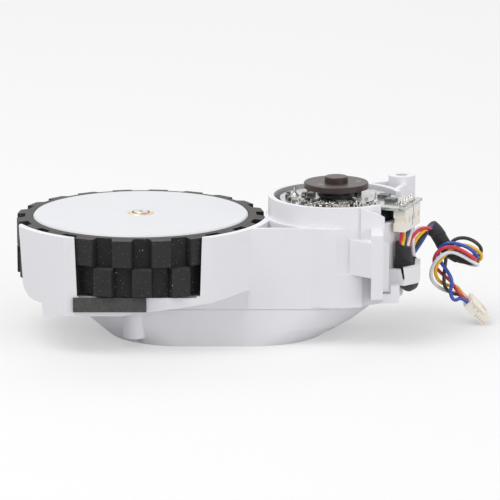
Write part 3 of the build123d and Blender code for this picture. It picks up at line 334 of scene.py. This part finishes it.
wire_places = {
    "red": dict(
        pin=0, tape_a=beside(tape_a_middle, tape_a_side, -1), tape_b=beside(tape_b_middle, tape_b_side, -1),
        between=[(76.2, 2.8, 24.6), (79.0, 5.8, 27.6)],
        loose=[
            (94.6, 7.2, 17.8), (95.6, 5.2, 18.6), (94.4, 3.0, 19.9), (91.6, 2.6, 21.9), (88.2, 2.6, 23.2),
            (85.2, 2.8, 22.5), (83.3, 3.4, 20.0), (83.6, 5.7, 16.8), (85.7, 6.4, 14.3), (88.4, 5.9, 12.4),
            (90.0, 4.6, 9.8),
        ],
        plug=1, length=98.2,
    ),
    "yellow": dict(
        pin=1, tape_a=tape_a_outer, tape_b=tape_b_middle,
        between=[(77.2, 2.8, 23.6), (79.6, 5.6, 26.4)],
        loose=[
            (94.8, 9.0, 17.6), (97.0, 7.6, 18.0), (97.2, 6.2, 20.0), (95.0, 5.3, 22.0), (92.0, 5.2, 23.2),
            (88.8, 5.2, 22.3), (86.0, 4.0, 19.9), (83.5, 3.8, 16.6), (84.3, 4.6, 12.9), (87.2, 7.0, 10.7),
            (90.2, 7.9, 10.4),
        ],
        plug=4, length=103.8,
    ),
    "black": dict(
        pin=2, tape_a=tape_a_middle, tape_b=beside(tape_b_middle, tape_b_side, 1),
        between=[(77.6, 3.0, 22.6), (80.2, 6.0, 25.2)],
        loose=[
            (94.8, 10.2, 18.2), (97.0, 9.0, 19.2), (97.2, 7.2, 21.6), (95.2, 6.4, 23.8), (92.2, 6.4, 25.0),
            (89.0, 6.5, 24.4), (87.2, 6.5, 21.4), (86.8, 6.0, 17.8), (86.3, 4.6, 14.0), (86.4, 4.4, 10.8),
            (88.6, 5.4, 8.6),
        ],
        plug=2, length=101.0,
    ),
    "blue": dict(
        pin=3, tape_a=tape_a_inner, tape_b=tape_b_upper,
        between=[(77.8, 3.2, 21.4), (80.4, 7.0, 24.2)],
        loose=[
            (95.2, 8.6, 18.9), (96.2, 6.4, 18.9), (95.2, 4.4, 20.6), (93.4, 4.0, 22.4), (90.4, 4.0, 23.6),
            (87.0, 4.1, 24.0), (84.7, 5.6, 21.8), (84.9, 5.8, 18.4), (87.2, 3.8, 15.8), (88.8, 3.1, 12.9),
            (87.9, 2.9, 9.6), (89.2, 2.9, 6.9),
        ],
        plug=0, length=100.3,
    ),
    "white": dict(
        pin=4, tape_a=beside(tape_a_middle, tape_a_side, 1), tape_b=tape_b_lower,
        between=[(77.0, 4.0, 25.8), (79.4, 7.4, 28.2)],
        loose=[
            (94.2, 8.8, 16.4), (96.0, 7.0, 16.6), (96.0, 4.6, 17.4), (93.9, 3.8, 18.6), (91.2, 3.2, 20.4),
            (88.2, 2.7, 21.7), (85.2, 2.6, 20.6), (82.9, 2.8, 17.6), (82.3, 3.2, 14.2), (83.8, 5.0, 11.4),
            (86.4, 7.2, 9.3), (89.2, 7.6, 8.4),
        ],
        plug=3, length=108.6,
    ),
}


def connector_point(pin, height):
    """A pin's place at a height of the connector."""
    along = (pin - 2) * pin_pitch
    return motor + connector_reach * tab_direction + along * tab_across + Vector((0.0, 0.0, height))


def plug_point(pin, depth):
    """A place on a wire's line into the plug, at a depth from the plug's end."""
    return plug_entry + depth * plug_axis + Vector((0.0, (pin - 2) * plug_pitch, 0.0))


curve_steps = 8
wire_roundness = 4


def nurbs_curve(name, route, radius=0.0):
    """A curve whose control points are the route's points, given in millimetres."""
    data = bpy.data.curves.new(name, "CURVE")
    data.dimensions = "3D"
    data.resolution_u = curve_steps
    data.bevel_depth = radius * MM
    data.bevel_resolution = wire_roundness
    data.use_fill_caps = True
    spline = data.splines.new("NURBS")
    spline.points.add(len(route) - 1)
    for point, place in zip(spline.points, route):
        point.co = (*(Vector(place) * MM), 1.0)
    spline.order_u = 3
    spline.use_endpoint_u = True
    curve = bpy.data.objects.new(name, data)
    bpy.context.scene.collection.objects.link(curve)
    return curve


def curve_points(route):
    """Points along the smooth line through the route."""
    guide = nurbs_curve("guide", route)
    bpy.context.view_layer.update()
    line = bpy.data.meshes.new_from_object(guide)
    points = [vertex.co.copy() for vertex in line.vertices]
    bpy.data.meshes.remove(line)
    bpy.data.objects.remove(guide)
    return points


def new_object(name, bm, material, body, smooth=True):
    """An object from mesh data, riding on a body."""
    mesh = bpy.data.meshes.new(name)
    bm.to_mesh(mesh)
    bm.free()
    for face in mesh.polygons:
        face.use_smooth = smooth
    mesh.materials.append(material)
    made = bpy.data.objects.new(name, mesh)
    bpy.context.scene.collection.objects.link(made)
    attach(made, body)
    return made


tape_rings = 90
tape_sides = 40
tape_pitch = 5.2                 # length of the sleeve to one turn of the tape
tape_lap_low = -0.12
tape_lap_rise = 0.20
tape_creases = [(0.05, 5, 900), (0.04, 3, -1500)]     # height, folds to a round, radians to a metre
tape_lean_share = 0.25           # part of the sleeve over which its slanted start fades out


def between_rows(profile, share):
    """The half width and half thickness of a profile at a share of its length."""
    index = max(i for i, row in enumerate(profile[:-1]) if row[0] <= share)
    start, end = profile[index], profile[index + 1]
    blend = (share - start[0]) / (end[0] - start[0])
    return start[1] + (end[1] - start[1]) * blend, start[2] + (end[2] - start[2]) * blend


def even_rings(points):
    """The centre, direction and distance of evenly spaced rings along a line of points."""
    lengths = [0.0]
    for before, after in zip(points, points[1:]):
        lengths.append(lengths[-1] + (after - before).length)
    rings = []
    for ring in range(tape_rings + 1):
        reach = lengths[-1] * ring / tape_rings
        index = max(i for i, length in enumerate(lengths[:-1]) if length <= reach + 1e-9)
        part = (reach - lengths[index]) / (lengths[index + 1] - lengths[index])
        before = points[max(index - 1, 0)]
        after = points[min(index + 2, len(points) - 1)]
        rings.append((points[index].lerp(points[index + 1], part), (after - before).normalized(), reach))
    return rings


def close_loops(bm, loops):
    """Faces between each loop and the next, and one over each end."""
    bm.faces.new(list(reversed(loops[0])))
    for lower, upper in zip(loops, loops[1:]):
        for corner in range(len(lower)):
            following = (corner + 1) % len(lower)
            bm.faces.new((lower[corner], lower[following], upper[following], upper[corner]))
    bm.faces.new(loops[-1])


def tape_sleeve(name, route, profile, slant, side, replaced):
    """Cloth tape wound round the wires, each turn lapping over the one before it.

    The profile lists share of the length, half width and half thickness; slant leans the first edge, and
    side is the direction of the half width at the start.
    """
    bm = bmesh.new()
    loops = []
    for number, (centre, along, reach) in enumerate(even_rings(curve_points(route))):
        share = number / tape_rings
        half_width, half_depth = between_rows(profile, share)
        side = (side - side.dot(along) * along).normalized()
        other = along.cross(side)
        loop = []
        for step in range(tape_sides):
            turn = 2 * pi * step / tape_sides
            lap = (reach / (tape_pitch * MM) + step / tape_sides) % 1.0
            crease = sum(height * sin(folds * turn + reach * twist) for height, folds, twist in tape_creases)
            swell = tape_lap_low + tape_lap_rise * lap + crease
            lean = slant * cos(turn) * max(0.0, 1 - share / tape_lean_share)
            place = (half_width + swell) * cos(turn) * side + (half_depth + swell) * sin(turn) * other
            place = place + lean * along
            loop.append(bm.verts.new(centre + place * MM))
        loops.append(loop)
    close_loops(bm, loops)
    bmesh.ops.recalc_face_normals(bm, faces=bm.faces)
    sleeve = new_object(name, bm, tape, "housing")
    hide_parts(replaced)
    return sleeve


sleeve_a_profile = [(0.0, 2.3, 1.9), (0.3, 2.8, 2.0), (0.45, 2.3, 2.1), (1.0, 2.05, 2.05)]
sleeve_b_profile = [(0.0, 2.1, 2.2), (0.45, 2.0, 2.1), (0.75, 1.9, 1.8), (0.92, 1.7, 1.1), (1.0, 1.2, 0.6)]
sleeve_b_tail = [(94.6, 8.6, 17.4), (96.3, 7.8, 17.4)]
sleeve_a = tape_sleeve("tape_wrap_a", tape_a_middle, sleeve_a_profile, 0.8, tape_a_side, "tape_sleeve_upper")
sleeve_b = tape_sleeve("tape_wrap_b", tape_b_middle + sleeve_b_tail, sleeve_b_profile, -0.6, tape_b_side,
                       "tape_sleeve_lower")

for name, place in wire_places.items():
    heights = (crimp_bottom, crimp_bottom - crimp_lead_out)
    start = [connector_point(place["pin"], height) for height in heights]
    end = [plug_point(place["plug"], depth) for depth in (-plug_lead_in, plug_wire_depth)]
    route = start + place["tape_a"] + place["between"] + place["tape_b"] + place["loose"] + end
    lead = nurbs_curve("lead_" + name, route, wire_radius)
    lead.data.materials.append(insulation[name])
    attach(lead, "housing")
    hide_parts("wire_" + name)


# Small parts: blocks with cut top edges, and round upright forms
round_sides = 16
fine_cut = 0.01
rail_cut = 0.08


def block(bm, foot, along, across, size, cut):
    """A block on its foot's middle: its directions, its length, width and height, and its top edges' cut."""
    up = along.cross(across)
    length, width, height = size
    loops = []
    for rise, inset in ((0.0, 0.0), (height - cut, 0.0), (height, cut)):
        reach = length / 2 - inset
        spread = width / 2 - inset
        loops.append([
            bm.verts.new((foot + reach * i * along + spread * j * across + rise * up) * MM)
            for i, j in ((-1, -1), (1, -1), (1, 1), (-1, 1))
        ])
    close_loops(bm, loops)


def turned(bm, foot, profile):
    """A round upright form from its radii and heights."""
    loops = []
    for radius, height in profile:
        turns = [2 * pi * n / round_sides for n in range(round_sides)]
        places = [foot + Vector((radius * cos(turn), radius * sin(turn), height)) for turn in turns]
        loops.append([bm.verts.new(place * MM) for place in places])
    close_loops(bm, loops)


def finished(name, bm, material, body, smooth=False):
    """An object from mesh data, with the material slot that it belongs to."""
    made = new_object(name, bm, material, body, smooth)


# Board: rows of resistors, capacitors and chips round the motor, densest at the front
board_top = 38.5
part_rows = ((7.0, 17), (8.9, 13), (10.7, 11), (12.4, 9.5), (14.0, 8.5))     # radius and step in degrees
rows_start = 172
rows_span = 190
row_jitter = 2
left_end = 205
front_start = 215
front_end = 325
kept_in_front = 0.95
kept_at_left = 0.12
kept_elsewhere = 0.5
part_shapes = ((1.5, 0.8, 0.5), (1.1, 0.6, 0.45), (1.9, 1.2, 0.6), (0.9, 0.6, 0.4))
part_turns = (0, 0, 90)
tan_share = 0.4
body_share = 0.62                # of a part's length, between its two soldered ends
end_share = 0.26
end_place = 0.42
end_width = 1.08
end_height = 1.06
body_cut = 0.05
end_cut = 0.08
draws = random.Random(11)
bodies_black = bmesh.new()
bodies_tan = bmesh.new()
ends = bmesh.new()
for row_radius, row_step in part_rows:
    for count in range(int(rows_span / row_step)):
        angle = rows_start + count * row_step + draws.uniform(-row_jitter, row_jitter)
        keep = draws.random()
        turned_by = draws.choice(part_turns)
        length, width, height = draws.choice(part_shapes)
        if front_start < angle % 360 < front_end:
            kept_share = kept_in_front
        elif angle % 360 < left_end:
            kept_share = kept_at_left
        else:
            kept_share = kept_elsewhere
        if keep > kept_share:
            continue
        place = motor + row_radius * level(angle) + board_top * upward
        along = level(angle + 90 + turned_by)
        across = upward.cross(along)
        body = bodies_tan if draws.random() < tan_share else bodies_black
        block(body, place, along, across, (length * body_share, width, height), body_cut)
        for end in (-1, 1):
            foot = place + end * length * end_place * along
            size = (length * end_share, width * end_width, height * end_height)
            block(ends, foot, along, across, size, end_cut)
finished("board_chips", bodies_black, chip_black, "housing")
finished("board_capacitors", bodies_tan, capacitor, "housing")
finished("board_part_ends", ends, part_ends, "housing")

# Solder: spikes on the connector's pins and blobs beside the motor
spike_profile = ((0.95, 0.0), (0.8, 0.35), (0.45, 0.9), (0.3, 1.5), (0.12, 1.75))
dot_profile = ((0.5, 0.0), (0.42, 0.25), (0.15, 0.5))
dot_behind = 1.9
dot_beside = 0.9
blob_profile = ((1.0, 0.0), (0.9, 0.3), (0.6, 0.55), (0.2, 0.68))     # shares of the radius, and heights
blob_places = ((11.6, 268, 1.0), (10.9, 296, 0.8), (12.2, 246, 0.7), (8.6, 284, 0.7))
joints = bmesh.new()
for pin in range(5):
    foot = connector_point(pin, board_top)
    turned(joints, foot, spike_profile)
    turned(joints, foot - dot_behind * tab_direction + dot_beside * tab_across, dot_profile)
for reach, angle, radius in blob_places:
    foot = motor + reach * level(angle) + board_top * upward
    turned(joints, foot, [(radius * share, height) for share, height in blob_profile])
finished("board_solder", joints, solder, "housing", smooth=True)

# Sensor disc: two pale marks on its upper face
encoder_top = 43.0
mark_places = ((-4.4, -3.6, 1.7), (6.3, 0.6, 1.5))     # x and y from the motor's axis, and length
mark_width = 0.5
mark_height = 0.05
mark_sunk = 0.02
marks = bmesh.new()
for x, y, length in mark_places:
    block(marks, motor + Vector((x, y, encoder_top - mark_sunk)), Vector((1.0, 0.0, 0.0)),
          Vector((0.0, 1.0, 0.0)), (length, mark_width, mark_height), fine_cut)
finished("disc_marks", marks, disc_mark, "rotor")

# Brass insert: a thin brown ring round the axle's end
insert_top = 33.75
ring_outer = 2.55
ring_inner = 2.25
ring_height = 0.06
ring_sides = 48
ring_section = ((ring_outer, 0.0), (ring_outer, ring_height), (ring_inner, ring_height), (ring_inner, 0.0))
ring = bmesh.new()
for radius, height in ring_section:
    for n in range(ring_sides):
        turn = 2 * pi * n / ring_sides
        ring.verts.new(Vector((radius * cos(turn), radius * sin(turn), insert_top + height)) * MM)
ring.verts.ensure_lookup_table()
for band in range(len(ring_section)):
    first = band * ring_sides
    second = (band + 1) % len(ring_section) * ring_sides
    for n in range(ring_sides):
        after = (n + 1) % ring_sides
        ring.faces.new([ring.verts[i] for i in (first + n, first + after, second + after, second + n)])
bmesh.ops.recalc_face_normals(ring, faces=ring.faces)
finished("insert_ring", ring, encoder_brown, "wheel")

# Connector: ribs on its outer face and the blue pen stroke across it
connector_half_depth = 1.72
face_reach = connector_reach + connector_half_depth
rib_places = (-6.2, -2.2, 2.2, 6.2)
rib_foot_height = 3.1
rib_size = (5.4, 0.5, 0.16)
rib_sunk = 0.05
rib_cut = 0.05
ribs = bmesh.new()
for along in rib_places:
    foot = motor + face_reach * tab_direction + along * tab_across + (crimp_bottom + rib_foot_height) * upward
    block(ribs, foot - rib_sunk * tab_direction, upward, -tab_across, rib_size, rib_cut)
finished("connector_ribs", ribs, cream, "housing")
stroke_points = [(0.6, 6.1), (0.7, 5.2), (0.6, 4.0), (0.3, 3.0), (0.0, 1.9), (-0.1, 0.9)]
stroke_width = 0.34
stroke_height = 0.07
stroke_sunk = 0.03
stroke_overlap = 1.1             # each run is this much longer than its two points are apart
stroke = bmesh.new()
for (start_along, start_height), (end_along, end_height) in zip(stroke_points, stroke_points[1:]):
    middle = motor + (face_reach - stroke_sunk) * tab_direction
    middle = middle + (start_along + end_along) / 2 * tab_across
    middle = middle + (crimp_bottom + (start_height + end_height) / 2) * upward
    run = (end_along - start_along) * tab_across + (end_height - start_height) * upward
    block(stroke, middle, run.normalized(), tab_across,
          (run.length * stroke_overlap, stroke_width, stroke_height), fine_cut)
finished("pen_stroke", stroke, pen_blue, "housing")

# Plug: rails on its upper face and its front side, and contact slots and two latch dots drawn as raised marks
# whose darker colour is painted shade of recesses
plug_half_height = 1.6
plug_half_width = 4.1
detail_sunk = 0.02
plug_across = Vector((0.0, 1.0, 0.0))
plug_up = plug_axis.cross(plug_across)
outward = Vector((0.0, -1.0, 0.0))
face_across = plug_up.cross(plug_axis)
side_across = outward.cross(plug_axis)
plug_face = plug_entry + (plug_half_height - detail_sunk) * plug_up
plug_side = plug_entry + (plug_half_width - detail_sunk) * outward
face_rails = (                   # distance along the plug, distance to the side, and size
    (3.1, -3.6, (5.4, 0.7, 0.3)),
    (3.1, 3.6, (5.4, 0.7, 0.3)),
    (1.0, 0.0, (1.2, 6.2, 0.22)),
)
side_rail_along = 2.9
side_rail_rise = 1.25
side_rail_size = (5.0, 0.6, 0.3)
face_slot_along = 5.4
face_slot_size = (2.0, 0.4, 0.06)
side_slot_start = 4.1
side_slot_step = 0.75
side_slot_drop = 0.9
side_slot_size = (0.26, 0.9, 0.06)
dot_reaches = (2.0, 3.6)
dot_rise = 0.3
dot_size = (0.4, 0.4, 0.06)
rails = bmesh.new()
slots = bmesh.new()
for along, sideways, size in face_rails:
    foot = plug_face + along * plug_axis + sideways * plug_across
    block(rails, foot, plug_axis, face_across, size, rail_cut)
side_rail_foot = plug_side + side_rail_along * plug_axis + side_rail_rise * plug_up
block(rails, side_rail_foot, plug_axis, side_across, side_rail_size, rail_cut)
for pin in range(5):
    foot = plug_side + (side_slot_start + side_slot_step * pin) * plug_axis - side_slot_drop * plug_up
    block(slots, foot, plug_axis, side_across, side_slot_size, fine_cut)
    foot = plug_face + face_slot_along * plug_axis + (pin - 2) * plug_pitch * plug_across
    block(slots, foot, plug_axis, face_across, face_slot_size, fine_cut)
for reach in dot_reaches:
    foot = plug_side + reach * plug_axis + dot_rise * plug_up
    block(slots, foot, plug_axis, side_across, dot_size, fine_cut)
finished("plug_rails", rails, plug_cream, "housing")
finished("plug_slot_shade", slots, plug_shade, "housing")

# Floor: a wide sheet of white paper, brighter to the eye than to the object
floor_size = 3.0
paper_scale = 900.0
paper_darker = (0.575, 0.575, 0.578)
paper_lighter = (0.595, 0.595, 0.598)
paper_lift = 0.355
paper_roughness = 0.9
floor_mesh = bpy.data.meshes.new("floor")
bm = bmesh.new()
bmesh.ops.create_grid(bm, x_segments=4, y_segments=4, size=floor_size)
bm.to_mesh(floor_mesh)
bm.free()
floor = bpy.data.objects.new("floor", floor_mesh)
bpy.context.scene.collection.objects.link(floor)
floor_material = bpy.data.materials.new("floor")
floor_material.use_nodes = True
tree = floor_material.node_tree
floor_shader = tree.nodes["Principled BSDF"]
floor_shader.inputs["Roughness"].default_value = paper_roughness
floor_shader.inputs["Specular IOR Level"].default_value = 0.0
paper = noise(tree, tree.nodes.new("ShaderNodeTexCoord").outputs["Object"], paper_scale)
link(tree, mixed(tree, paper, paper_darker, paper_lighter), floor_shader.inputs["Base Color"])
lift = computed(tree, "MULTIPLY", seen_directly(tree), paper_lift)
link(tree, lift, floor_shader.inputs["Emission Strength"])
floor_shader.inputs["Emission Color"].default_value = (1.0, 1.0, 1.0, 1.0)
floor_mesh.materials.append(floor_material)


# Light: large soft panels and an even white room
def panel(name, place, target, size, power):
    """An area lamp that faces its target."""
    data = bpy.data.lights.new(name, "AREA")
    data.shape = "RECTANGLE"
    data.size, data.size_y = size
    data.energy = power
    lamp = bpy.data.objects.new(name, data)
    bpy.context.scene.collection.objects.link(lamp)
    lamp.location = place
    lamp.rotation_mode = "QUATERNION"
    lamp.rotation_quaternion = (Vector(target) - Vector(place)).to_track_quat("-Z", "Y")


panel("key", (-0.45, -0.35, 0.95), (0.03, 0.0, 0.0), (0.8, 0.8), 5.7)
panel("fill", (0.8, -0.75, 0.24), (0.06, 0.0, 0.0), (0.9, 0.4), 2.9)
panel("rear", (0.1, 0.9, 0.8), (0.03, 0.0, 0.0), (1.2, 0.6), 2.0)

room_light = 0.60
room_seen = 1.0
world = bpy.data.worlds.new("room")
bpy.context.scene.world = world
world.use_nodes = True
tree = world.node_tree
room = tree.nodes["Background"]
room.inputs["Color"].default_value = (1.0, 1.0, 1.0, 1.0)
room_strength = mapped(tree, seen_directly(tree), 0.0, 1.0, room_light, room_seen)
link(tree, room_strength, room.inputs["Strength"])

bpy.context.scene.view_settings.view_transform = "Standard"
